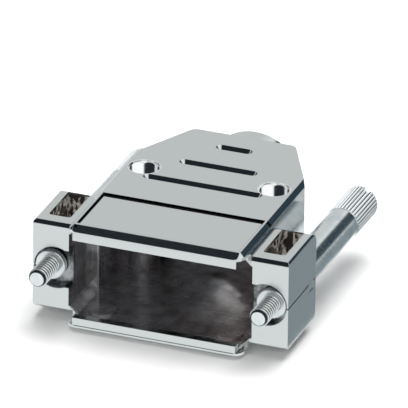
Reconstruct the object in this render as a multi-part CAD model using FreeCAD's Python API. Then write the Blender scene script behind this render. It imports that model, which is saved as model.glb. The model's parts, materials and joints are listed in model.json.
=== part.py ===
import FreeCAD, Part
import math
import os
from FreeCAD import Vector

# Two-shell metallised hood for a 15-way D-sub connector, in millimetres.
# X runs across the connector, Y from the connector to the cable and Z up.
# The origin is the middle of the connector face, on the plane where the shells part.

# Connector face
screw_spacing = 33.32
flange_gap_height = 12.8
flange_gap_depth = 1.25
mouth_height = 12.1
mouth_corner_height = 14.4
lip_strip_side = 12.3
lip_strip_step = 0.12
chamber_depth = 8.6
shoulder_step = 1.15
shoulder_round = 0.35
chamber_corner = 1.2
mouth_lead_in = 0.25
flange_relief = 0.05

# Outside of the body
body_to_screw = 3.46
body_height = 16.5
lip_front = 2.6
lip_bevel_depth = 1.1
lip_bevel_height = 0.75
lip_corner_radius = 1.5
edge_bevel = 0.65
taper_start = 22.9
body_back = 33.85
taper_inset = 5.43
back_corner_radius = 1.3

# Walls
top_wall = 1.4
side_wall = 0.75
back_wall = 1.4

# Ears beside the connector
ear_margin = 2.6
ear_upper_height = 7.0
ear_lower_height = 6.75
ear_depth = 11.3
ear_front_bevel = 0.55
ear_side_bevel = 0.3
ear_back_radius = 1.5
ear_root_bevel = 0.25
ear_pocket_width = 3.3
ear_pocket_offset = 0.48
ear_pocket_front = 2.4
ear_pocket_back_wall = 0.7
ear_pocket_floor = 3.05
ear_pocket_corner = 0.45

# Seat of the thumbscrews in the ears
recess_radius = 3.2
recess_offset = 0.8
recess_depth = 1.35
recess_slot_height = 5.8
neck_play = 0.45

# Cable outlet
collar_diameter = 14.2
collar_length = 4.85
cable_bore = 10.6
collar_edge = 0.35

# Grooves, label panel and parting line on the outside
groove_width = 1.56
groove_bottom = 0.2
groove_depth = 0.8
groove_places = [(16.72, 18.0), (23.12, 11.8), (29.52, 5.5)]
panel_margin = 0.95
panel_front = -1.1
panel_back = 9.5
panel_depth = 0.3
panel_groove_width = 0.2
panel_groove_gap = 0.15
parting_gap = 0.22
parting_depth = 0.4

# Interlock of the two shells
tab_start = 8.6
tab_end = 10.2
tab_drop = 1.2
tab_width = 1.0
tab_clearance = 0.05

# Screws that hold the shells together
case_screw_inset = 3.35
case_screw_y = 19.4
case_screw_radius = 1.1
case_screw_length = 9.5
case_head_radius = 2.05
case_head_height = 1.5
case_head_play = 0.23
case_seat_height = 4.1
case_hole_play = 0.15
case_pilot_play = 0.02
upper_post_radius = 2.95
lower_post_radius = 2.4
post_web_width = 3.4

# Cable clamp behind the connector
clamp_place = 27.1
clamp_depth = 6.4
clamp_width = 16.4
clamp_half_height = 3.5
clamp_gap = 1.2
clamp_bore = 7.4
clamp_edge = 1.0
clamp_seat_play = 0.1
clamp_rib = 0.9
clamp_rib_rise = 1.6
clamp_rib_inset = 0.4
clamp_screw_margin = 2.3
clamp_screw_radius = 1.25
clamp_hole_play = 0.12
clamp_head_radius = 2.2
clamp_head_height = 1.4
clamp_nut_flats = 5.0
clamp_nut_height = 1.8
clamp_nut_play = 0.1
clamp_thread_play = 0.02
clamp_screw_end = 0.9

# Thumbscrews, which hang a little in their loose seats
thumb_tip = 5.1
thumb_thread_radius = 1.42
thumb_tip_chamfer = 0.42
thumb_collar_front = 0.0
thumb_collar_length = 1.1
thumb_collar_radius = 2.2
thumb_neck_radius = 1.4
thumb_shoulder_gap = 0.12
thumb_barrel_radius = 2.45
thumb_barrel_length = 17.2
thumb_knurl_radius = 2.55
thumb_knurl_length = 8.0
thumb_knurl_ridges = 32
thumb_knurl_depth = 0.2
thumb_slot_width = 0.9
thumb_slot_depth = 1.1
thumb_lift = 0.25
thumb_droop = 1.2

# Drive recesses of the small screws
drive_width = 0.55
drive_depth = 0.8
drive_span = 0.72

# Pads moulded on the floors inside the mouth
pad_inset = 4.0
pad_y = 2.6
pad_radius = 2.0
pad_height = 0.3

# Sizes that follow from the ones above
screw_x = screw_spacing / 2
body_side = screw_x - body_to_screw
back_side = body_side - taper_inset
body_top = body_height / 2
ceiling = body_top - top_wall
ear_side = screw_x + ear_margin
collar_end = body_back + collar_length
back_inside = body_back - back_wall
cavity_side = body_side - side_wall
chamber_side = cavity_side + shoulder_step
case_screw_x = body_side - case_screw_inset
pad_x = chamber_side - pad_inset
panel_side = body_side - panel_margin
clamp_front = clamp_place - clamp_depth / 2
clamp_back = clamp_place + clamp_depth / 2
clamp_top = clamp_gap / 2 + clamp_half_height
clamp_screw_x = clamp_width / 2 - clamp_screw_margin
clamp_rib_side = clamp_width / 2 - clamp_rib_inset
barrel_front = ear_depth + thumb_shoulder_gap
knurl_front = barrel_front + thumb_barrel_length
thumb_end = knurl_front + thumb_knurl_length
far = 60.0

ALONG_X = Vector(1, 0, 0)
ALONG_Y = Vector(0, 1, 0)
ALONG_Z = Vector(0, 0, 1)
ORIGIN = Vector(0, 0, 0)


def block(x, y, z):
    """Rectangular block between two values along each axis."""
    corner = Vector(x[0], y[0], z[0])
    return Part.makeBox(x[1] - x[0], y[1] - y[0], z[1] - z[0], corner)


def rod(radius, start, direction, length):
    """Round bar from a point along a direction."""
    return Part.makeCylinder(radius, length, start, direction)


def mirrored(shape):
    """The same shape on the other side of the middle plane."""
    return shape.mirror(ORIGIN, ALONG_X)


def pair(shape):
    """The shape on the right and its mirror image on the left."""
    return shape.fuse(mirrored(shape))


def plate(points, bottom, top):
    """Flat piece with an outline of (x, y) points, between two heights."""
    corners = [Vector(x, y, bottom) for x, y in points]
    outline = Part.makePolygon(corners + corners[:1])
    return Part.Face(outline).extrude(Vector(0, 0, top - bottom))


def bar_along_x(points, left, right):
    """Bar with a section of (y, z) points, between two places across the part."""
    corners = [Vector(left, y, z) for y, z in points]
    outline = Part.makePolygon(corners + corners[:1])
    return Part.Face(outline).extrude(Vector(right - left, 0, 0))


def bar_along_y(points, front, back):
    """Bar with a section of (x, z) points, from front to back."""
    corners = [Vector(x, front, z) for x, z in points]
    outline = Part.makePolygon(corners + corners[:1])
    return Part.Face(outline).extrude(Vector(0, back - front, 0))


def finger_groove(centre_y, length):
    """Groove across the top with sloping walls, a narrow bottom and full round ends."""
    wide, narrow = groove_width / 2, groove_bottom / 2
    reach = length / 2 - wide
    bottom = body_top - groove_depth
    section = [(centre_y - narrow, bottom), (centre_y + narrow, bottom),
               (centre_y + wide, body_top), (centre_y - wide, body_top)]
    end = Part.makeCone(narrow, wide, groove_depth, Vector(reach, centre_y, bottom), ALONG_Z)
    return bar_along_x(section, -reach, reach).fuse(pair(end)).removeSplitter()


def turned(profile):
    """Solid turned about the Y axis from (radius, y) points that start and end on the axis."""
    corners = [Vector(radius, y, 0) for radius, y in profile]
    outline = Part.makePolygon(corners + corners[:1])
    return Part.Face(outline).revolve(ORIGIN, ALONG_Y, 360)


def upright_edges(shape, places):
    """Edges that stand upright at the given (x, y) corners."""
    found = []
    for edge in shape.Edges:
        first, last = edge.Vertexes[0].Point, edge.Vertexes[-1].Point
        standing = math.hypot(first.x - last.x, first.y - last.y) < 1e-6
        at_corner = any(math.hypot(first.x - x, first.y - y) < 1e-6 for x, y in places)
        if standing and at_corner:
            found.append(edge)
    return found


def outline_points(side, front, taper, back, back_side):
    """Plan of the body: straight sides that taper in towards the cable."""
    right = [(side, front), (side, taper), (back_side, back)]
    left = [(-x, y) for x, y in reversed(right)]
    return right + left


def body_block():
    """Outside of the body above the parting plane, with its lip, bevels and cable collar."""
    points = outline_points(body_side, -lip_front, taper_start, body_back, back_side)
    body = plate(points, 0, body_top)
    body = body.makeFillet(lip_corner_radius, upright_edges(body, [p for p in points if p[1] < 0]))
    body = body.makeFillet(back_corner_radius, upright_edges(body, [p for p in points if p[1] > taper_start]))
    rim = [e for e in body.Edges if min(v.Z for v in e.Vertexes) > body_top - 1e-6
           and max(v.Y for v in e.Vertexes) < taper_start + 1e-6]
    body = body.makeChamfer(edge_bevel, rim)
    wedge = bar_along_x([(-lip_front, body_top - lip_bevel_height), (-lip_front, body_top + 1),
                         (-lip_front + lip_bevel_depth, body_top + 1),
                         (-lip_front + lip_bevel_depth, body_top)], -far, far)
    return body.cut(wedge)


def cable_collar():
    """Round collar that the cable leaves through."""
    radius = collar_diameter / 2
    start = body_back - back_wall / 2
    return turned([(0, start), (radius, start), (radius, collar_end - collar_edge),
                   (radius - collar_edge, collar_end), (0, collar_end)])


def ear_block(height):
    """Outside of the right ear above the parting plane, with its bevels and rounded back edge."""
    bevel = ear_front_bevel
    inner = body_side - side_wall / 2
    ear = bar_along_x([(0, 0), (0, height - bevel), (bevel, height), (ear_depth, height), (ear_depth, 0)],
                      inner, ear_side)
    back = [e for e in ear.Edges if all(abs(v.Y - ear_depth) < 1e-6 and abs(v.Z - height) < 1e-6
                                        for v in e.Vertexes)]
    ear = ear.makeFillet(ear_back_radius, back)
    corner = bar_along_y([(ear_side - ear_side_bevel, height), (ear_side, height - ear_side_bevel),
                          (ear_side + 1, height - ear_side_bevel), (ear_side + 1, height + 1),
                          (ear_side - ear_side_bevel, height + 1)], -1, ear_depth + 1)
    root = ear_root_bevel
    slope = bar_along_y([(inner, height - root), (body_side + 2 * root, height - root),
                         (body_side, height + root), (inner, height + root)],
                        bevel, ear_depth - ear_back_radius)
    return ear.cut(corner).fuse(slope)


def chamber():
    """Space for the back of the connector, with bevelled corners and a lead-in at the mouth."""
    side, top, corner = chamber_side, ceiling, chamber_corner
    section = [(side, -top + corner), (side, top - corner), (side - corner, top), (-side + corner, top),
               (-side, top - corner), (-side, -top + corner), (-side + corner, -top), (side - corner, -top)]
    space = bar_along_y(section, -flange_gap_depth, chamber_depth)
    lead = plate([(side, mouth_lead_in * 3), (side + mouth_lead_in, 0), (-side - mouth_lead_in, 0),
                  (-side, mouth_lead_in * 3)], -top + corner, top - corner)
    return space.fuse(lead)


def rear_cavity():
    """Space behind the chamber, which follows the tapered outside of the body."""
    run = back_side - body_side
    rise = body_back - taper_start
    slope = run / rise
    shift = side_wall * math.hypot(run, rise) / rise
    at_start = body_side - shift
    taper = taper_start + (cavity_side - at_start) / slope
    inside = at_start + (back_inside - taper_start) * slope
    points = outline_points(cavity_side, chamber_depth - 1, taper, back_inside, inside)
    return plate(points, -ceiling, ceiling)


def connector_mouth():
    """Opening between the lips and the gap behind them that takes the connector's flange."""
    half = flange_gap_height / 2
    gap = block((-body_side, body_side), (-flange_gap_depth, flange_relief), (-half, half))
    mouth = block((-far, far), (-far, -flange_gap_depth), (-mouth_height / 2, mouth_height / 2))
    high = mouth_corner_height / 2
    corner = block((lip_strip_side, far), (-far, flange_relief), (-high, high))
    step = block((-far, far), (-far, -lip_front + lip_strip_step), (-high, high))
    return gap.fuse([mouth, pair(corner), step])


def screw_seat():
    """Recess for the collar of the right thumbscrew, its slot and the hole for the neck."""
    centre = screw_x - recess_offset
    recess = rod(recess_radius, Vector(centre, 0, 0), ALONG_Y, recess_depth)
    half = recess_slot_height / 2
    slot = block((chamber_side - 1, centre), (0, recess_depth), (-half, half))
    neck = rod(thumb_neck_radius + neck_play, Vector(screw_x, 0, 0), ALONG_Y, ear_depth + 1)
    return recess.fuse([slot, neck])


def ear_pocket():
    """Pocket in the top of the right ear."""
    centre = screw_x - ear_pocket_offset
    left, right = centre - ear_pocket_width / 2, centre + ear_pocket_width / 2
    back = ear_depth - ear_pocket_back_wall
    pocket = block((left, right), (ear_pocket_front, back), (ear_pocket_floor, far))
    corners = [(x, y) for x in (left, right) for y in (ear_pocket_front, back)]
    return pocket.makeFillet(ear_pocket_corner, upright_edges(pocket, corners))


def label_panel():
    """Shallow panel on top with sloping edges and a fine groove along its back."""
    slope = panel_depth
    floor = body_top - panel_depth
    over = body_top + slope
    across = bar_along_y([(-panel_side + slope, floor), (panel_side - slope, floor),
                          (panel_side + slope, over), (-panel_side - slope, over)], -far, far)
    along = bar_along_x([(panel_front + slope, floor), (panel_back - slope, floor),
                         (panel_back + slope, over), (panel_front - slope, over)], -far, far)
    groove_back = panel_back - slope - panel_groove_gap
    groove = block((-panel_side + slope, panel_side - slope),
                   (groove_back - panel_groove_width, groove_back), (floor - panel_groove_width, body_top))
    return across.common(along).fuse(groove)


def grooves():
    """Three finger grooves, shorter towards the cable."""
    cuts = [finger_groove(y, length) for y, length in groove_places]
    return cuts[0].fuse(cuts[1:])


def roof_pad():
    """Low round pad on the inside of the roof, beside the mouth."""
    return rod(pad_radius, Vector(pad_x, pad_y, ceiling - pad_height), ALONG_Z, pad_height + top_wall / 2)


def screw_post(radius):
    """Round post for a case screw with a web to the side wall, from the parting plane up."""
    height = ceiling + top_wall / 2
    post = rod(radius, Vector(case_screw_x, case_screw_y, 0), ALONG_Z, height)
    half = post_web_width / 2
    web = block((case_screw_x, cavity_side + side_wall / 2),
                (case_screw_y - half, case_screw_y + half), (0, height))
    return post.fuse(web)


def half_shell(post_radius, ear_height):
    """What both shells share: the housing above the parting plane."""
    outside = body_block().fuse([pair(ear_block(ear_height)), cable_collar()])
    outside = outside.common(block((-far, far), (-far, far), (0, far)))
    shell = outside.cut([chamber(), rear_cavity(), connector_mouth()])
    shoulders = upright_edges(shell, [(cavity_side, chamber_depth), (-cavity_side, chamber_depth)])
    shell = shell.makeFillet(shoulder_round, shoulders)
    inner = pair(screw_post(post_radius)).fuse(pair(roof_pad()))
    shell = shell.fuse(inner.common(body_block()))
    cable_hole = rod(cable_bore / 2, Vector(0, clamp_back, 0), ALONG_Y, far)
    cuts = [pair(screw_seat()), pair(ear_pocket()), label_panel(), grooves(), cable_hole]
    return shell.cut(cuts)


def parting_line():
    """Fine shadow gap around the outside where the shells meet."""
    outer = block((-far, far), (-far, far), (-parting_gap, 0))
    deep = parting_depth
    body = plate(outline_points(body_side - deep, -far, taper_start, body_back - deep,
                                back_side - deep), -parting_gap, 0)
    ears = block((-ear_side + deep, ear_side - deep), (-far, ear_depth - deep), (-parting_gap, 0))
    collar = rod(collar_diameter / 2 - deep, Vector(0, back_inside, 0), ALONG_Y, far)
    return outer.cut([body, ears, collar])


def tab(clearance):
    """Tab near the back of the right ear that reaches down past the parting plane."""
    return block((ear_side - tab_width - clearance, ear_side),
                 (tab_start - clearance, tab_end + clearance), (-tab_drop - clearance * 4, 0))


def upper_shell():
    """Upper shell with sunk screw heads and tabs."""
    shell = half_shell(upper_post_radius, ear_upper_height).fuse(pair(tab(0)))
    place = Vector(case_screw_x, case_screw_y, 0)
    hole = rod(case_screw_radius + case_hole_play, place, ALONG_Z, far)
    sink = rod(case_head_radius + case_head_play, place + Vector(0, 0, case_seat_height), ALONG_Z, far)
    return shell.cut([pair(hole), pair(sink)]).removeSplitter()


def clamp_cradle():
    """Two stepped ribs on the floor that the cable clamp sits between."""
    front = clamp_front - clamp_seat_play
    back = clamp_back + clamp_seat_play
    half = clamp_rib_side
    seat = -clamp_top
    ledge = clamp_rib
    low = -ceiling - top_wall / 2
    base = block((-half, half), (front - clamp_rib, back + clamp_rib), (low, seat + clamp_rib_rise))
    clamp_space = block((-far, far), (front, back), (seat, far))
    nut_space = block((-far, far), (front + ledge, back - ledge), (-ceiling, far))
    cable_space = rod(cable_bore / 2, Vector(0, 0, 0), ALONG_Y, far)
    return base.cut([clamp_space, nut_space, cable_space])


def lower_shell():
    """Lower shell with blind posts for the case screws and the cradle of the clamp."""
    shell = half_shell(lower_post_radius, ear_lower_height).mirror(ORIGIN, ALONG_Z)
    shell = shell.fuse(clamp_cradle())
    depth = case_screw_length - case_seat_height + case_screw_radius
    pilot = rod(case_screw_radius + case_pilot_play, Vector(case_screw_x, case_screw_y, -depth),
                ALONG_Z, depth)
    return shell.cut([pair(tab(tab_clearance)), parting_line(), pair(pilot)]).removeSplitter()


def cross_recess(radius, top):
    """Crossed drive recess in the top of a screw head at the origin."""
    reach = radius * drive_span
    half = drive_width / 2
    slot = block((-reach, reach), (-half, half), (top - drive_depth, top + 1))
    other = block((-half, half), (-reach, reach), (top - drive_depth, top + 1))
    return slot.fuse(other)


def pan_screw(radius, length, head_radius, head_height):
    """Small pan-head screw that hangs down from the plane Z = 0 under its head."""
    tip = radius * 0.6
    corners = [Vector(0, 0, -length), Vector(radius * 0.5, 0, -length), Vector(radius, 0, -length + tip),
               Vector(radius, 0, 0), Vector(head_radius, 0, 0), Vector(head_radius, 0, head_height),
               Vector(0, 0, head_height)]
    outline = Part.makePolygon(corners + corners[:1])
    screw = Part.Face(outline).revolve(ORIGIN, ALONG_Z, 360)
    return screw.cut(cross_recess(head_radius, head_height))


def case_screw():
    """Right case screw, sunk in the upper shell and cut into the lower post."""
    screw = pan_screw(case_screw_radius, case_screw_length, case_head_radius, case_head_height)
    screw.translate(Vector(case_screw_x, case_screw_y, case_seat_height))
    return screw


def clamp_half():
    """Upper half of the cable clamp with a round seat for the cable."""
    half = clamp_width / 2
    body = block((-half, half), (clamp_front, clamp_back), (clamp_gap / 2, clamp_top))
    edges = [e for e in body.Edges if abs(e.Vertexes[0].X - e.Vertexes[-1].X) < 1e-6
             and abs(e.Vertexes[0].Z - e.Vertexes[-1].Z) < 1e-6 and e.Vertexes[0].Z > clamp_top - 1e-6]
    body = body.makeChamfer(clamp_edge, edges)
    body = body.cut(rod(clamp_bore / 2, ORIGIN, ALONG_Y, far))
    hole = rod(clamp_screw_radius + clamp_hole_play, Vector(clamp_screw_x, clamp_place, 0),
               ALONG_Z, far)
    return body.cut(pair(hole))


def hexagon(flats, low, high):
    """Upright six-sided bar about the Z axis, with flats towards front and back."""
    corner = flats / math.sqrt(3)
    points = [(corner * math.cos(math.radians(60 * k)), corner * math.sin(math.radians(60 * k)))
              for k in range(6)]
    return plate(points, low, high)


def clamp_lower():
    """Lower half of the cable clamp with pockets for its nuts."""
    body = clamp_half().mirror(ORIGIN, ALONG_Z)
    pocket = hexagon(clamp_nut_flats + 2 * clamp_nut_play, -far, -clamp_top + clamp_nut_height)
    pocket.translate(Vector(clamp_screw_x, clamp_place, 0))
    return body.cut(pair(pocket))


def clamp_nut():
    """Right nut of the clamp, flush with the underside of its lower half."""
    nut = hexagon(clamp_nut_flats, 0, clamp_nut_height)
    bevel = Part.makeCone(clamp_nut_flats / 2 + clamp_nut_height, clamp_nut_flats / 2,
                          clamp_nut_height, ORIGIN, ALONG_Z)
    upside = bevel.mirror(Vector(0, 0, clamp_nut_height / 2), ALONG_Z)
    hole = rod(clamp_screw_radius + clamp_thread_play, ORIGIN, ALONG_Z, far)
    nut = nut.common(bevel).fuse(nut.common(upside)).cut(hole).removeSplitter()
    nut.translate(Vector(clamp_screw_x, clamp_place, -clamp_top))
    return nut


def clamp_screw():
    """Right screw of the clamp, through both halves and the nut."""
    length = 2 * clamp_top + clamp_screw_end
    screw = pan_screw(clamp_screw_radius, length, clamp_head_radius, clamp_head_height)
    screw.translate(Vector(clamp_screw_x, clamp_place, clamp_top))
    return screw


def knurled_head():
    """Straight-knurled grip at the back of a thumbscrew, about the Y axis."""
    points = []
    for index in range(2 * thumb_knurl_ridges):
        angle = math.pi * index / thumb_knurl_ridges
        radius = thumb_knurl_radius - (thumb_knurl_depth if index % 2 else 0)
        points.append((radius * math.cos(angle), radius * math.sin(angle)))
    return bar_along_y(points, knurl_front, thumb_end)


def thumbscrew():
    """Right thumbscrew, turned in one piece and tipped down a little by its own weight."""
    bevel = thumb_tip_chamfer
    collar_back = thumb_collar_front + thumb_collar_length
    shaft = turned([(0, -thumb_tip), (thumb_thread_radius - bevel, -thumb_tip),
                    (thumb_thread_radius, -thumb_tip + bevel), (thumb_thread_radius, thumb_collar_front),
                    (thumb_collar_radius, thumb_collar_front), (thumb_collar_radius, collar_back),
                    (thumb_neck_radius, collar_back), (thumb_neck_radius, barrel_front),
                    (thumb_barrel_radius, barrel_front), (thumb_barrel_radius, knurl_front),
                    (0, knurl_front)])
    half = thumb_slot_width / 2
    slot = block((-far, far), (thumb_end - thumb_slot_depth, far), (-half, half))
    screw = shaft.fuse(knurled_head()).cut(slot).removeSplitter()
    screw.rotate(ORIGIN, ALONG_X, -thumb_droop)
    screw.translate(Vector(screw_x, 0, thumb_lift))
    return screw


def write(shape, name):
    """One STEP file for each piece."""
    shape.exportStep("parts/" + name + ".step")
    print(name, "valid", shape.isValid(), "solids", len(shape.Solids), "volume", round(shape.Volume, 1))


def write_pair(shape, name):
    """The piece on the right and its twin on the left."""
    write(shape, name + "_right")
    write(mirrored(shape), name + "_left")


os.makedirs("parts", exist_ok=True)
write(upper_shell(), "upper_shell")
write(lower_shell(), "lower_shell")
write(clamp_half(), "cable_clamp_upper")
write(clamp_lower(), "cable_clamp_lower")
write_pair(thumbscrew(), "thumbscrew")
write_pair(case_screw(), "case_screw")
write_pair(clamp_screw(), "clamp_screw")
write_pair(clamp_nut(), "clamp_nut")
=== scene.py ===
import bpy
import bmesh
import json
import math
from mathutils import Matrix, Vector


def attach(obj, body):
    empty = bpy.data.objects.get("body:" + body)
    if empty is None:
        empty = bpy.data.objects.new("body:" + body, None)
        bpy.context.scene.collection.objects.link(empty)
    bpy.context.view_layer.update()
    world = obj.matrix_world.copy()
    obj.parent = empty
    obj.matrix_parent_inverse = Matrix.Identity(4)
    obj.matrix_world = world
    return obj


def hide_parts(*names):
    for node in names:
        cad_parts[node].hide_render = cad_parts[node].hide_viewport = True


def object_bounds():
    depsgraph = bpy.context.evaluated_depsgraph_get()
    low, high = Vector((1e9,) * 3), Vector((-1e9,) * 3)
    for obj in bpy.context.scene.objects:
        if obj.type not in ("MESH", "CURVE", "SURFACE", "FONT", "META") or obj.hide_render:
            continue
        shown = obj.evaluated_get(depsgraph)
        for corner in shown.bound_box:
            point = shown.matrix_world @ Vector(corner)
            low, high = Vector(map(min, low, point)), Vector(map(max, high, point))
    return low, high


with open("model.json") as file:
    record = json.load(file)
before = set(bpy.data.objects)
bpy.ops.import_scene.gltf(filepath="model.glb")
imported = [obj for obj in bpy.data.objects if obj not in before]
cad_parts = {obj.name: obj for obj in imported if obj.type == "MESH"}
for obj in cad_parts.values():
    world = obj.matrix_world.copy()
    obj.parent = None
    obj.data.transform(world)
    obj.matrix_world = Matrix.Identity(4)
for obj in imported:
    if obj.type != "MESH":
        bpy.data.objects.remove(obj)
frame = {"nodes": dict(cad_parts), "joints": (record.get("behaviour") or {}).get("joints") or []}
cad_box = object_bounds()
nodes = frame["nodes"]
joints = {j["name"]: j for j in frame["joints"]}
scene = bpy.context.scene
MM = 0.001

# Camera: a long lens from the front right, above the hood
CAMERA_AZIMUTH = 20.44
CAMERA_ELEVATION = 25.99
CAMERA_ROLL = 0.68
CAMERA_DISTANCE = 1.6
CAMERA_LENS = 994.0
CAMERA_TARGET = Vector((0.0, 17.4, 5.04)) * MM

# Thumbscrews, in millimetres; places along the screw count from the connector face towards the tip
PITCH = 25.4 / 40
THREAD_RADIUS = 1.42
THREAD_DEPTH = 0.36
THREAD_ROOT = THREAD_RADIUS - THREAD_DEPTH
THREAD_EASE = 0.03
TIP = 5.1
TIP_CHAMFER = 0.42
COLLAR_FRONT = 0.0
COLLAR_BACK = -1.1
COLLAR_RADIUS = 2.2
COLLAR_EDGE = 0.12
NECK_RADIUS = 1.4
BARREL_FRONT = -11.42
BARREL_RADIUS = 2.48
BARREL_EDGE = 0.15
KNURL_FRONT = -29.1
KNURL_RADIUS = 2.58
KNURL_DEPTH = 0.22
KNURL_RIDGES = 32
KNURL_LEAD = 0.25
KNURL_END = -37.4
HEAD_EDGE = 0.12
HEAD_EDGE_LENGTH = 0.35
HEAD_FACE_RADIUS = KNURL_RADIUS - 0.45
UNDERCUT_FRONT = KNURL_FRONT + 0.28
UNDERCUT_BACK = KNURL_FRONT + 0.05
UNDERCUT_SLOPE = 0.08
UNDERCUT_RADIUS = BARREL_RADIUS - 0.12
SHOULDER_RADIUS = BARREL_RADIUS - 0.02
SLOT_WIDTH = 0.9
SLOT_DEPTH = 1.1
SLOT_ANGLE = 65
SLOT_PAST_END = 1.0
SLOT_REACH = 4.0

# How deep the knurl is at each step from one ridge to the next, as a part of its full depth
KNURL_WAVE = (0.12, 0.0, 0.12, 0.45, 1.0, 0.45)
AROUND = KNURL_RIDGES * len(KNURL_WAVE)

# Parts of the pitch, from crest to crest, at which the thread's mesh has a row of points, and the
# turns past both ends that are pressed flat there
THREAD_PHASES = (0.0, 0.04, 0.11, 0.15, 0.305, 0.46, 0.51, 0.64, 0.69, 0.845)
SPARE_TURNS = 3

# Points of a screw closer than this, in metres, become one, and edges that turn by more than this many
# degrees stay sharp
MERGE = 1e-7
SMOOTH_ANGLE = 32

# Regions of the hood, in millimetres, that its plating follows: SIDE is the distance from the middle,
# Y the depth from the connector face, Z the height and LEVEL the distance from the parting plane
WIRE_SPACE_SIDE = 12.65
WIRE_SPACE_Y = (8.4, 32.7)
TAPER_Y = 22.9
TAPER_SLOPE = 0.496
CHAMBER_SIDE = 13.65
CHAMBER_Y = (0.3, 8.7)
INSIDE_LEVEL = 6.93
SEAT_SIDE = 9.85
SEAT_Y = 19.4
SEAT_RADIUS = 2.41
SEAT_FLOOR_Z = 4.25
EAR_FRONT_SIDE = 13.45
EAR_FRONT_Y = 0.07
RECESS_SIDE = (12.6, 19.05)
RECESS_Y = (0.4, 1.7)
RECESS_LEVEL = 3.5
POCKET_SIDE = (14.4, 17.95)
POCKET_Y = (2.3, 10.75)
POCKET_LEVEL = (3.0, 6.55)
GAP_Z = (-0.23, 0.02)
GAP_FRONT_Y = 0.35
GAP_EAR_SIDE = 18.75
GAP_BODY_SIDE = 12.725
GAP_BODY_Y = 11.25
TAB_SIDE = 13.65
TAB_Y = (8.55, 10.25)
TAB_GAP_SIDE = 18.175
TAB_GAP_Z = (-1.41, -1.19)
FIELD_BACK_Y = (8.88, 9.48)
FIELD_BACK_Z = (7.6, 8.22)
FIELD_LEFT_X = (-12.27, -11.93)
FIELD_LEFT_Z = (7.94, 8.23)

# Colours of the part
PLATE = (0.67, 0.70, 0.70)
SEAT_WHITE = (0.97, 0.98, 0.98)
# Black painted shade for the narrow gaps, and a black painted reflection on the field's walls
SHADE_LINE_BLACK = (0.02, 0.02, 0.02)
CUT_ZINC = (0.84, 0.88, 0.89)
# Near-black painted shade for the hollows of the screws' threads and knurls
HOLLOW_SHADE = (0.02, 0.024, 0.028)

# Rounding of the plated edges, in millimetres, and how finely it is drawn
EDGE_RADIUS = 0.10
BEVEL_SAMPLES = 6

# Studio: lengths in metres, strengths of light, and the colours that the metal mirrors
FLOOR_REACH = 4.0
FLOOR_WHITE = (0.86, 0.86, 0.86)
FLOOR_GLOW = 0.05
ROOM_LIGHT = 0.27
ROOM_RADIUS = 1.2
LAMP_TARGET = (0, 0.015, 0)
CARD_LIFT = 0.2 * MM
FRONT_CARD_BACK = -0.0028
EAR_CARD_WIDTH = 0.0266
WHITE = (1, 1, 1)
CARD_PALE = (0.95, 0.97, 0.97)
CARD_LEFT = (0.72, 0.74, 0.74)
CARD_RIGHT = (0.27, 0.32, 0.34)
WALL_LOW = (0.42, 0.44, 0.45)
WALL_HIGH = (0.74, 0.76, 0.76)
PANEL_DARK = (0.016, 0.020, 0.025)
PANEL_BLUE = (0.035, 0.057, 0.075)
BACK_LEFT = (0.71, 0.72, 0.72)
BACK_RIGHT = (1.03, 1.05, 1.05)
FRONT_WARM = (1.0, 0.97, 0.93)


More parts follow.
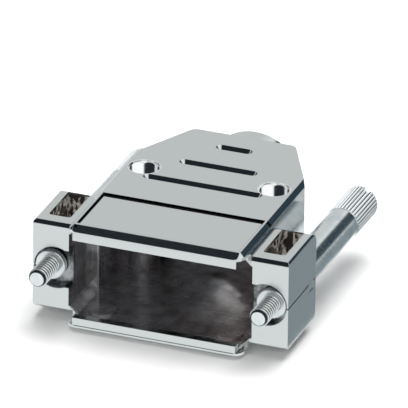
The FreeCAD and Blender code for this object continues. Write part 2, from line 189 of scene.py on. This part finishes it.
class Graph:
    """The nodes of one material or world, with a short method for each kind that is used."""

    def __init__(self, tree, empty=False):
        self.nodes = tree.nodes
        self.links = tree.links
        if empty:
            self.nodes.clear()

    def feed(self, socket, value):
        """Links another socket to this one, or sets it to a number, a vector or a colour."""
        if isinstance(value, bpy.types.NodeSocket):
            self.links.new(value, socket)
        elif socket.type == "RGBA":
            socket.default_value = (*value, 1)
        else:
            socket.default_value = value

    def make(self, kind, output, inputs, operation=None):
        """A new node with its inputs fed; returns one of its outputs."""
        node = self.nodes.new(kind)
        if operation:
            node.operation = operation
        for key, value in inputs.items():
            self.feed(node.inputs[key], value)
        return node.outputs[output]

    def coordinates(self):
        """The object's own coordinates, in metres."""
        return self.nodes.new("ShaderNodeTexCoord").outputs["Object"]

    def axes(self, vector):
        """X, Y and Z of a vector."""
        parts = self.nodes.new("ShaderNodeSeparateXYZ")
        self.feed(parts.inputs["Vector"], vector)
        return [parts.outputs[axis] for axis in "XYZ"]

    def millimetres(self, coords):
        """X, Y and Z of coordinates, in millimetres."""
        return self.axes(self.make("ShaderNodeVectorMath", "Vector", {0: coords, "Scale": 1 / MM},
                                   operation="SCALE"))

    def noise(self, coords, scale, detail, roughness, stretch=(1, 1, 1)):
        """Noise over coordinates, stretched along their axes."""
        stretched = self.make("ShaderNodeMapping", "Vector", {"Vector": coords, "Scale": stretch})
        return self.make("ShaderNodeTexNoise", "Fac", {"Vector": stretched, "Scale": scale,
                                                       "Detail": detail, "Roughness": roughness})

    def ramp(self, value, *stops):
        """Colour ramp with stops of (place, colour)."""
        node = self.nodes.new("ShaderNodeValToRGB")
        elements = node.color_ramp.elements
        elements.remove(elements[0])
        elements[0].position = stops[0][0]
        elements[0].color = (*stops[0][1], 1)
        for place, colour in stops[1:]:
            elements.new(place).color = (*colour, 1)
        self.feed(node.inputs["Fac"], value)
        return node.outputs["Color"]

    def spread(self, value, low, high, to_low, to_high):
        """Maps one range of values to another, and holds its ends."""
        return self.make("ShaderNodeMapRange", "Result", {"Value": value, "From Min": low, "From Max": high,
                                                          "To Min": to_low, "To Max": to_high})

    def maths(self, operation, *values):
        """One maths operation over two or more values, from the first to the last."""
        result = values[0]
        for value in values[1:]:
            result = self.make("ShaderNodeMath", "Value", {0: result, 1: value}, operation=operation)
        return result

    def plus(self, *values):
        return self.maths("ADD", *values)

    def minus(self, first, second):
        return self.maths("SUBTRACT", first, second)

    def times(self, *values):
        return self.maths("MULTIPLY", *values)

    def most(self, *values):
        return self.maths("MAXIMUM", *values)

    def absolute(self, value):
        return self.maths("ABSOLUTE", value, 0)

    def outside(self, mask):
        """One where a mask is nothing, and nothing where it is one."""
        return self.minus(1, mask)

    def distance(self, first, second):
        """Length of two offsets at a right angle."""
        return self.maths("SQRT", self.plus(self.times(first, first), self.times(second, second)), 0)

    def above(self, value, edge, soft):
        """One above an edge and nothing below it."""
        return self.spread(value, edge - soft, edge + soft, 0, 1)

    def below(self, value, edge, soft):
        """One below an edge and nothing above it."""
        return self.spread(value, edge - soft, edge + soft, 1, 0)

    def band(self, value, edges, soft):
        """One between two edges and nothing outside them."""
        return self.times(self.above(value, edges[0], soft), self.below(value, edges[1], soft))

    def blend(self, factor, first, second):
        """Mixes two colours: the first at nothing, the second at one."""
        node = self.nodes.new("ShaderNodeMix")
        node.data_type = "RGBA"
        for key, value in ((0, factor), (6, first), (7, second)):
            self.feed(node.inputs[key], value)
        return node.outputs[2]

    def bevel(self, radius):
        """Normal of a surface whose sharp edges are rounded."""
        node = self.nodes.new("ShaderNodeBevel")
        node.samples = BEVEL_SAMPLES
        self.feed(node.inputs["Radius"], radius)
        return node.outputs["Normal"]

    def bump(self, height, strength, distance, normal=None):
        """Normal of a surface with small relief."""
        inputs = {"Height": height, "Strength": strength, "Distance": distance}
        if normal is not None:
            inputs["Normal"] = normal
        return self.make("ShaderNodeBump", "Normal", inputs)

    def emission(self, colour, strength=1.0):
        return self.make("ShaderNodeEmission", 0, {"Color": colour, "Strength": strength})

    def seen(self):
        """One where the camera, metal or glass sees a surface, and nothing where it lights others."""
        path = self.nodes.new("ShaderNodeLightPath")
        return self.most(*(path.outputs[f"Is {kind} Ray"] for kind in ("Camera", "Glossy", "Transmission")))

    def mix_shaders(self, factor, first, second):
        return self.make("ShaderNodeMixShader", 0, {0: factor, 1: first, 2: second})


def link(obj):
    """Puts a new object into the scene."""
    scene.collection.objects.link(obj)
    return obj


def mesh_object(name, mesh):
    """Turns a finished mesh into an object of the scene."""
    data = bpy.data.meshes.new(name)
    mesh.to_mesh(data)
    mesh.free()
    return link(bpy.data.objects.new(name, data))


def rectangle(name, x, y, z):
    """Level rectangle between two values of X and two of Y."""
    data = bpy.data.meshes.new(name)
    corners = [(x[0], y[0], z), (x[1], y[0], z), (x[1], y[1], z), (x[0], y[1], z)]
    data.from_pydata(corners, [], [(0, 1, 2, 3)])
    return link(bpy.data.objects.new(name, data))


def part_material(name):
    """A new material, the graph of its nodes and the sockets of its main shader."""
    mat = bpy.data.materials.new(name)
    mat.use_nodes = True
    return mat, Graph(mat.node_tree), mat.node_tree.nodes["Principled BSDF"].inputs


def studio_material(obj, name):
    """Gives an object an empty material; returns its graph and its output socket."""
    mat = bpy.data.materials.new(name)
    mat.use_nodes = True
    obj.data.materials.append(mat)
    g = Graph(mat.node_tree, empty=True)
    return g, g.nodes.new("ShaderNodeOutputMaterial").inputs["Surface"]


def hood_masks(g, x, y, z):
    """Masks of the hood's regions: one on a region and nothing elsewhere."""
    side, level = g.absolute(x), g.absolute(z)
    tapered = g.plus(side, g.times(g.most(g.minus(y, TAPER_Y), 0), TAPER_SLOPE))
    wire_space = g.times(g.below(tapered, WIRE_SPACE_SIDE, 0.1), g.band(y, WIRE_SPACE_Y, 0.1))
    chamber = g.times(g.below(side, CHAMBER_SIDE, 0.1), g.band(y, CHAMBER_Y, 0.6))
    from_seat = g.distance(g.minus(side, SEAT_SIDE), g.minus(y, SEAT_Y))
    seat = g.times(g.below(from_seat, SEAT_RADIUS, 0.01), g.above(z, SEAT_FLOOR_Z, 0.05))
    inside = g.times(g.most(wire_space, chamber), g.below(level, INSIDE_LEVEL, 0.05), g.outside(seat))

    ear_front = g.times(g.above(side, EAR_FRONT_SIDE, 0.15), g.below(y, EAR_FRONT_Y, 0.05))
    recess = g.times(g.band(y, RECESS_Y, 0.1), g.band(side, RECESS_SIDE, 0.05),
                     g.below(level, RECESS_LEVEL, 0.1))
    pocket = g.times(g.band(y, POCKET_Y, 0.05), g.band(side, POCKET_SIDE, 0.05),
                     g.band(level, POCKET_LEVEL, 0.05))

    tab_y = g.band(y, TAB_Y, 0.02)
    tab = g.times(tab_y, g.above(side, TAB_SIDE, 0.05))
    # Gaps and field walls are painted black: painted shade in the narrow gaps and a painted dark reflection
    # on the field's back and left walls
    body_gap = g.times(g.above(side, GAP_BODY_SIDE, 0.025), g.above(y, GAP_BODY_Y, 0.05))
    gap = g.times(g.band(z, GAP_Z, 0.02), g.above(y, GAP_FRONT_Y, 0.05), g.outside(tab),
                  g.most(g.above(side, GAP_EAR_SIDE, 0.05), body_gap))
    tab_gap = g.times(tab_y, g.band(z, TAB_GAP_Z, 0.01), g.above(side, TAB_GAP_SIDE, 0.025))
    field_back = g.times(g.band(z, FIELD_BACK_Z, 0.01), g.band(y, FIELD_BACK_Y, 0.02))
    field_left = g.times(g.band(z, FIELD_LEFT_Z, 0.01), g.band(x, FIELD_LEFT_X, 0.02))
    return {"inside": inside, "seat": seat, "ear_front": ear_front, "recess": recess, "pocket": pocket,
            "shade_lines": g.most(gap, tab_gap, field_back, field_left)}


def plating_colour(g, coords, x, y, z, masks):
    """Plate outside, murky and brown inside, with painted shade in the ear recesses, painted highlights and
    painted shade in the pockets, black painted shade in the narrow gaps and a black painted reflection on
    the field's walls.
    """
    cloud = g.noise(coords, 420, 6, 0.65)
    murk = g.ramp(cloud, (0.38, (0.22, 0.21, 0.22)), (0.60, (0.40, 0.39, 0.41)))
    brown = g.ramp(cloud, (0.38, (0.24, 0.20, 0.19)), (0.60, (0.44, 0.40, 0.39)))
    # Ear recesses: painted shade, a mottled dark grey
    recess_shade = g.ramp(cloud, (0.40, (0.06, 0.065, 0.07)), (0.60, (0.36, 0.37, 0.38)))
    # Pockets: painted highlights in cream and white and painted shade in near black, set by streaky noise,
    # lighter towards the pocket's opening and its back
    streaks = g.noise(coords, 620, 4, 0.6, (1.0, 0.8, 0.45))
    lit = g.plus(g.spread(streaks, 0.35, 0.65, 0.26, 0.74), g.spread(g.absolute(z), 3.2, 6.2, -0.14, 0.06),
                 g.spread(y, 4.0, 10.5, -0.14, 0.08))
    pocket_glints_and_shade = g.ramp(lit, (0.40, (0.03, 0.025, 0.02)), (0.49, (0.14, 0.11, 0.09)),
                     (0.53, (0.90, 0.84, 0.75)), (0.60, (1.0, 0.99, 0.97)), (0.66, (0.06, 0.05, 0.045)))
    colour = g.blend(masks["inside"], PLATE, g.blend(g.spread(x, 0, 10, 0, 1), murk, brown))
    colour = g.blend(masks["recess"], colour, recess_shade)
    colour = g.blend(masks["seat"], colour, SEAT_WHITE)
    colour = g.blend(masks["pocket"], colour, pocket_glints_and_shade)
    # Black painted shade in the gaps and black painted reflection on the field's walls
    return g.blend(masks["shade_lines"], colour, SHADE_LINE_BLACK)


def plating_normal(g, coords, z, masks):
    """Rounded edges and a fine ripple; the ears' fronts and the seats lean towards the pale studio."""
    rounded = g.bevel(EDGE_RADIUS * MM)
    dish = g.times(masks["seat"], g.spread(z, 8.15, 7.5, 0.2, 1.1))
    lean = g.make("ShaderNodeCombineXYZ", "Vector", {"X": g.times(masks["ear_front"], 0.2),
                                                     "Z": g.plus(g.times(masks["ear_front"], 0.1), dish)})
    leaning = g.make("ShaderNodeVectorMath", "Vector", {0: rounded, 1: lean}, operation="ADD")
    unit = g.make("ShaderNodeVectorMath", "Vector", {0: leaning}, operation="NORMALIZE")
    ripple = g.plus(g.noise(coords, 160, 2, 0.4), g.times(g.noise(coords, 2600, 4, 0.6), 0.25))
    relief = g.times(ripple, g.plus(g.times(masks["inside"], 0.85), 0.15))
    return g.bump(relief, 0.06, 0.06 * MM, unit)


def plating():
    """Bright metal plating over moulded plastic, duller and browner deep inside the hood."""
    mat, g, sockets = part_material("bright_plating")
    coords = g.coordinates()
    x, y, z = g.millimetres(coords)
    masks = hood_masks(g, x, y, z)
    patches = g.times(masks["inside"], g.spread(g.noise(coords, 260, 5, 0.6), 0.42, 0.72, 0.0, 0.22))
    plain = g.plus(g.times(masks["pocket"], 0.8), g.times(masks["inside"], 0.4))
    g.feed(sockets["Base Color"], plating_colour(g, coords, x, y, z, masks))
    g.feed(sockets["Metallic"], g.minus(1, plain))
    g.feed(sockets["Roughness"], g.plus(0.13, g.times(masks["ear_front"], 0.10), patches))
    g.feed(sockets["Normal"], plating_normal(g, coords, z, masks))
    return mat


def screw_masks(g, coords):
    """Two masks: the hollows between threads and ridges, which take painted shade, and the bright head
    with, half, the front.
    """
    x, y, z = g.millimetres(coords)
    start = Vector(joints["thumbscrew_right_turn"]["pos_m"]) / MM
    ahead = Vector(joints["thumbscrew_right_turn"]["axis"])
    drop = g.times(g.minus(y, start.y), ahead.z / ahead.y)
    radius = g.distance(g.minus(g.absolute(x), abs(start.x)), g.minus(g.minus(z, start.z), drop))
    deep, shallow = (KNURL_RADIUS - KNURL_DEPTH * part for part in (0.75, 0.35))
    thread = g.times(g.above(y, 0.035 - TIP, 0.015), g.below(y, -COLLAR_FRONT - 0.05, 0.05),
                     g.spread(radius, THREAD_ROOT + 0.14, THREAD_RADIUS - 0.04, 1, 0))
    knurl = g.times(g.band(y, (0.3 - KNURL_FRONT, -KNURL_END - 0.1), 0.02),
                    g.spread(radius, deep, shallow, 1, 0))
    head = g.band(y, (0.1 - KNURL_FRONT, -KNURL_END - 0.02), 0.02)
    front = g.spread(y, 0.2 - COLLAR_BACK, 0.3 - COLLAR_BACK, 0.5, 0)
    return g.most(thread, knurl), g.most(head, front)


def zinc(name, scale, carved=False):
    """Zinc-plated steel, turned along Y, with faint clouds; carved screws have near-black painted shade in
    their hollows.
    """
    mat, g, sockets = part_material(name)
    coords = g.coordinates()
    colour = g.ramp(g.noise(coords, 520 * scale, 5, 0.6), (0.34, (0.60, 0.67, 0.71)),
                    (0.52, (0.72, 0.77, 0.78)), (0.70, (0.77, 0.79, 0.78)))
    metallic = 1.0
    if carved:
        # Thread roots and knurl hollows: near-black painted shade
        hollow_shade, cut = screw_masks(g, coords)
        colour = g.blend(hollow_shade, g.blend(cut, colour, CUT_ZINC), HOLLOW_SHADE)
        metallic = g.spread(cut, 0, 1, 1.0, 0.5)
    rings = g.noise(coords, 900 * scale, 3, 0.6, (0.12, 5.0, 0.12))
    specks = g.noise(coords, 2400 * scale, 4, 0.65)
    g.feed(sockets["Base Color"], colour)
    g.feed(sockets["Metallic"], metallic)
    g.feed(sockets["Roughness"], g.spread(rings, 0.3, 0.7, 0.18, 0.28))
    g.feed(sockets["Normal"], g.bump(g.plus(rings, g.times(specks, 0.9)), 0.22, 0.03 * MM))
    return mat


def place_camera():
    """Camera at the photograph's viewing angle."""
    a, e, r = (math.radians(v) for v in (CAMERA_AZIMUTH, CAMERA_ELEVATION, CAMERA_ROLL))
    back = Vector((math.sin(a) * math.cos(e), -math.cos(a) * math.cos(e), math.sin(e)))
    right = Vector((math.cos(a), math.sin(a), 0))
    up = back.cross(right)
    right, up = right * math.cos(r) + up * math.sin(r), up * math.cos(r) - right * math.sin(r)
    data = bpy.data.cameras.new("camera")
    data.lens = CAMERA_LENS
    data.sensor_width = 36.0
    data.clip_start = 0.1
    data.clip_end = 20.0
    camera = link(bpy.data.objects.new("camera", data))
    turn = Matrix((right, up, back)).transposed().to_4x4()
    camera.matrix_world = Matrix.Translation(CAMERA_TARGET + back * CAMERA_DISTANCE) @ turn
    scene.camera = camera


def thread_radius(phase):
    """Radius of the thread at a part of its pitch, from crest to crest."""
    crest, root = THREAD_RADIUS, THREAD_ROOT
    shape = [(0.0, crest - THREAD_EASE), (0.04, crest), (0.11, crest), (0.15, crest - THREAD_EASE),
             (0.46, root + THREAD_EASE), (0.51, root), (0.64, root), (0.69, root + THREAD_EASE),
             (1.0, crest - THREAD_EASE)]
    for (p0, r0), (p1, r1) in zip(shape, shape[1:]):
        if p0 <= phase <= p1:
            return r0 + (r1 - r0) * (phase - p0) / (p1 - p0)


def carve_thread(mesh, point):
    """Thread from the collar to the tip, as rows of points that climb by one pitch in a turn."""
    per_turn = len(THREAD_PHASES)
    turns = math.ceil((TIP - COLLAR_FRONT) / PITCH) + SPARE_TURNS
    rows = []
    for top in [TIP + PITCH * (1 - turn - phase) for turn in range(turns) for phase in THREAD_PHASES]:
        row = []
        for step in range(AROUND):
            climb = PITCH * step / AROUND
            along = min(max(top + climb, COLLAR_FRONT), TIP)
            radius = thread_radius((TIP + PITCH - along + climb) / PITCH % 1.0)
            radius = min(radius, THREAD_RADIUS - TIP_CHAMFER + TIP - along)
            if along == COLLAR_FRONT:
                radius = THREAD_ROOT
            row.append(mesh.verts.new(point(along, radius, step)))
        rows.append(row)
    for k in range(len(rows) - 1):
        for j in range(AROUND - 1):
            mesh.faces.new((rows[k][j], rows[k + 1][j], rows[k + 1][j + 1], rows[k][j + 1]))
        if k >= per_turn:
            first, second = rows[k - per_turn][0], rows[k - per_turn + 1][0]
            mesh.faces.new((rows[k][-1], rows[k + 1][-1], second, first))


def knurled(radius):
    """Radii around the knurl, one for each step from a ridge to the next."""
    return [radius - KNURL_DEPTH * part for part in KNURL_WAVE]


def turn_body(mesh, point):
    """Collar, neck, barrel and knurled head, as rings of points that are joined one to the next."""
    profile = [
        (COLLAR_FRONT, [THREAD_ROOT]), (COLLAR_FRONT, [COLLAR_RADIUS - COLLAR_EDGE]),
        (COLLAR_FRONT - COLLAR_EDGE, [COLLAR_RADIUS]), (COLLAR_BACK + COLLAR_EDGE, [COLLAR_RADIUS]),
        (COLLAR_BACK, [COLLAR_RADIUS - COLLAR_EDGE]), (COLLAR_BACK, [NECK_RADIUS]),
        (BARREL_FRONT, [NECK_RADIUS]), (BARREL_FRONT, [BARREL_RADIUS - BARREL_EDGE]),
        (BARREL_FRONT - BARREL_EDGE, [BARREL_RADIUS]), (UNDERCUT_FRONT, [BARREL_RADIUS]),
        (UNDERCUT_FRONT - UNDERCUT_SLOPE, [UNDERCUT_RADIUS]), (UNDERCUT_BACK, [UNDERCUT_RADIUS]),
        (KNURL_FRONT, [SHOULDER_RADIUS]), (KNURL_FRONT - KNURL_LEAD, knurled(KNURL_RADIUS)),
        (KNURL_END + HEAD_EDGE_LENGTH, knurled(KNURL_RADIUS)),
        (KNURL_END + HEAD_EDGE, knurled(KNURL_RADIUS - HEAD_EDGE)), (KNURL_END, [HEAD_FACE_RADIUS])]
    rings = [[mesh.verts.new(point(along, radii[step % len(radii)], step)) for step in range(AROUND)]
             for along, radii in profile]
    for first, second in zip(rings, rings[1:]):
        for j in range(AROUND):
            k = (j + 1) % AROUND
            mesh.faces.new((first[j], second[j], second[k], first[k]))
    mesh.faces.new(rings[-1])


def cut_away(obj, cutter):
    """Cuts one object out of another, and removes the cutter."""
    cut = obj.modifiers.new("cut", "BOOLEAN")
    cut.operation = "DIFFERENCE"
    cut.solver = "EXACT"
    cut.object = cutter
    bpy.context.view_layer.update()
    data = bpy.data.meshes.new_from_object(obj.evaluated_get(bpy.context.evaluated_depsgraph_get()))
    obj.modifiers.clear()
    obj.data = data
    data.name = obj.name
    bpy.data.objects.remove(cutter)


def thumbscrew(name, joint):
    """Thumbscrew with a real right-hand thread and a knurled, slotted head, about its joint's axis."""
    start = Vector(joint["pos_m"])
    ahead = Vector(joint["axis"]).normalized()
    across = Vector((1, 0, 0))
    rise = ahead.cross(across)

    def point(along, radius, step):
        angle = 2 * math.pi * step / AROUND
        return start + (ahead * along + (across * math.cos(angle) + rise * math.sin(angle)) * radius) * MM

    mesh = bmesh.new()
    carve_thread(mesh, point)
    turn_body(mesh, point)
    bmesh.ops.remove_doubles(mesh, verts=mesh.verts, dist=MERGE)
    bmesh.ops.contextual_create(mesh, geom=[edge for edge in mesh.edges if edge.is_boundary])
    bmesh.ops.recalc_face_normals(mesh, faces=mesh.faces)
    screw = mesh_object(name, mesh)

    turn = math.radians(SLOT_ANGLE)
    along_slot = across * math.cos(turn) + rise * math.sin(turn)
    over_slot = rise * math.cos(turn) - across * math.sin(turn)
    middle = start + ahead * (KNURL_END + (SLOT_DEPTH - SLOT_PAST_END) / 2) * MM
    size = Matrix.Diagonal((2 * SLOT_REACH * MM, SLOT_WIDTH * MM, (SLOT_DEPTH + SLOT_PAST_END) * MM, 1))
    turned = Matrix((along_slot, over_slot, ahead)).transposed().to_4x4()
    slot = bmesh.new()
    bmesh.ops.create_cube(slot, size=1, matrix=Matrix.Translation(middle) @ turned @ size)
    cut_away(screw, mesh_object(name + "_slot", slot))
    screw.data.polygons.foreach_set("use_smooth", [True] * len(screw.data.polygons))
    screw.data.set_sharp_from_angle(angle=math.radians(SMOOTH_ANGLE))
    return screw


def only_mirrored(obj):
    """Lets an object show in reflections alone."""
    obj.visible_camera = False
    obj.visible_shadow = False
    obj.visible_diffuse = False
    obj.visible_transmission = False


def floor_card(name, x, y, colour):
    """Plain glowing card that lies on the floor and shows only as a reflection in the metal."""
    card = rectangle(name, x, y, cad_box[0].z + CARD_LIFT)
    g, surface = studio_material(card, name)
    g.feed(surface, g.emission(colour))
    only_mirrored(card)


def floor():
    """Plain white floor under the hood, with a faint glow that is seen but lights nothing."""
    plane = rectangle("floor", (-FLOOR_REACH, FLOOR_REACH), (-FLOOR_REACH, FLOOR_REACH), cad_box[0].z)
    g, surface = studio_material(plane, "floor_white")
    diffuse = g.make("ShaderNodeBsdfDiffuse", 0, {"Color": FLOOR_WHITE})
    glowing = g.make("ShaderNodeAddShader", 0, {0: diffuse, 1: g.emission(WHITE, FLOOR_GLOW)})
    g.feed(surface, g.mix_shaders(g.seen(), diffuse, glowing))


def studio_world():
    """White background, with plain soft light from all around."""
    world = bpy.data.worlds.new("studio")
    scene.world = world
    world.use_nodes = True
    g = Graph(world.node_tree, empty=True)
    light, white = (g.make("ShaderNodeBackground", 0, {"Color": WHITE, "Strength": strength})
                    for strength in (ROOM_LIGHT, 1.0))
    g.feed(g.nodes.new("ShaderNodeOutputWorld").inputs["Surface"], g.mix_shaders(g.seen(), light, white))


def studio_walls():
    """Round room that only metal mirrors: pale, with dark panels, a blue strip and bright boxes."""
    mesh = bmesh.new()
    bmesh.ops.create_uvsphere(mesh, u_segments=48, v_segments=24, radius=ROOM_RADIUS)
    walls = mesh_object("studio_walls", mesh)
    g, surface = studio_material(walls, "studio_walls")
    direction = g.make("ShaderNodeVectorMath", "Vector", {0: g.coordinates()}, operation="NORMALIZE")
    x, y, z = g.axes(direction)

    def spot(centre, outer, inner):
        """Round patch about a direction, by the cosine of the angle at its outer and inner edge."""
        nearness = g.make("ShaderNodeVectorMath", "Value", {0: direction, 1: centre},
                          operation="DOT_PRODUCT")
        return g.spread(nearness, outer, inner, 0, 1)

    behind = g.spread(y, 0.50, 0.58, 0, 1)
    around_y = g.maths("ARCTAN2", z, x)
    pale_back = g.times(behind, g.most(g.spread(around_y, 1.20, 1.30, 0, 1),
                                       g.band(around_y, (0.05, 0.17), 0.03)))
    blue_strip = g.times(behind, g.spread(x, 0.0, 0.1, 0, 1))
    dark_panels = g.most(spot((-0.316, -0.439, 0.842), 0.865, 0.895), spot((-0.86, 0.34, 0.38), 0.95, 0.97))
    right_box = spot((0.65, 0.0, 0.76), 0.83, 0.86)
    front_box = g.times(g.spread(x, 0.08, 0.14, 0, 1), g.spread(y, -0.60, -0.66, 0, 1),
                        g.spread(z, 0.14, 0.20, 0, 1), g.spread(z, 0.66, 0.60, 0, 1))

    colour = g.blend(g.spread(z, 0.0, 0.9, 0, 1), WALL_LOW, WALL_HIGH)
    colour = g.blend(dark_panels, colour, PANEL_DARK)
    colour = g.blend(blue_strip, colour, PANEL_BLUE)
    colour = g.blend(pale_back, colour, g.blend(g.spread(x, -0.15, 0.2, 0, 1), BACK_LEFT, BACK_RIGHT))
    colour = g.blend(right_box, colour, WHITE)
    colour = g.blend(front_box, colour, FRONT_WARM)
    g.feed(surface, g.emission(colour))
    only_mirrored(walls)


def lamp(name, place, size, power):
    """Soft round lamp that shines at the hood and doesn't show in reflections."""
    data = bpy.data.lights.new(name, "AREA")
    data.shape = "DISK"
    data.size = size
    data.energy = power
    obj = link(bpy.data.objects.new(name, data))
    obj.location = Vector(place)
    obj.rotation_mode = "QUATERNION"
    obj.rotation_quaternion = (Vector(LAMP_TARGET) - Vector(place)).to_track_quat("-Z", "Y")
    obj.visible_glossy = False


def dress(names, mat):
    """Gives pieces of the frame one material."""
    for name in names:
        nodes[name].data.materials.clear()
        nodes[name].data.materials.append(mat)


place_camera()
studio_world()
studio_walls()
floor()
lamp("key", place=(0.06, 0.24, 0.9), size=0.9, power=12.8)
lamp("front", place=(-0.1, -0.85, 0.45), size=0.5, power=2.2)
floor_card("floor_card_right", x=(0.0205, 0.25), y=(0.0, 0.6), colour=CARD_RIGHT)
floor_card("floor_card_left", x=(-0.5, -0.02), y=(0.03, 0.6), colour=CARD_LEFT)
floor_card("floor_card_front", x=(-0.25, 0.15), y=(-0.25, FRONT_CARD_BACK), colour=CARD_PALE)
for name, left in (("floor_card_ear_right", 0.0134), ("floor_card_ear_left", -0.04)):
    floor_card(name, x=(left, left + EAR_CARD_WIDTH), y=(FRONT_CARD_BACK, 0.0), colour=CARD_PALE)

dress(("upper_shell", "lower_shell", "cable_clamp_upper", "cable_clamp_lower"), plating())
small_pieces = [f"{kind}_{side}" for kind in ("case_screw", "clamp_screw", "clamp_nut")
                for side in ("left", "right")]
dress(small_pieces, zinc("small_zinc", 1.4))

turned_zinc = zinc("turned_zinc", 1.0, carved=True)
for side in ("left", "right"):
    body = "thumbscrew_" + side
    screw = thumbscrew("turned_" + body, joints[body + "_turn"])
    screw.data.materials.append(turned_zinc)
    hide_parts(body)
    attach(screw, body)

scene.view_settings.view_transform = "Standard"
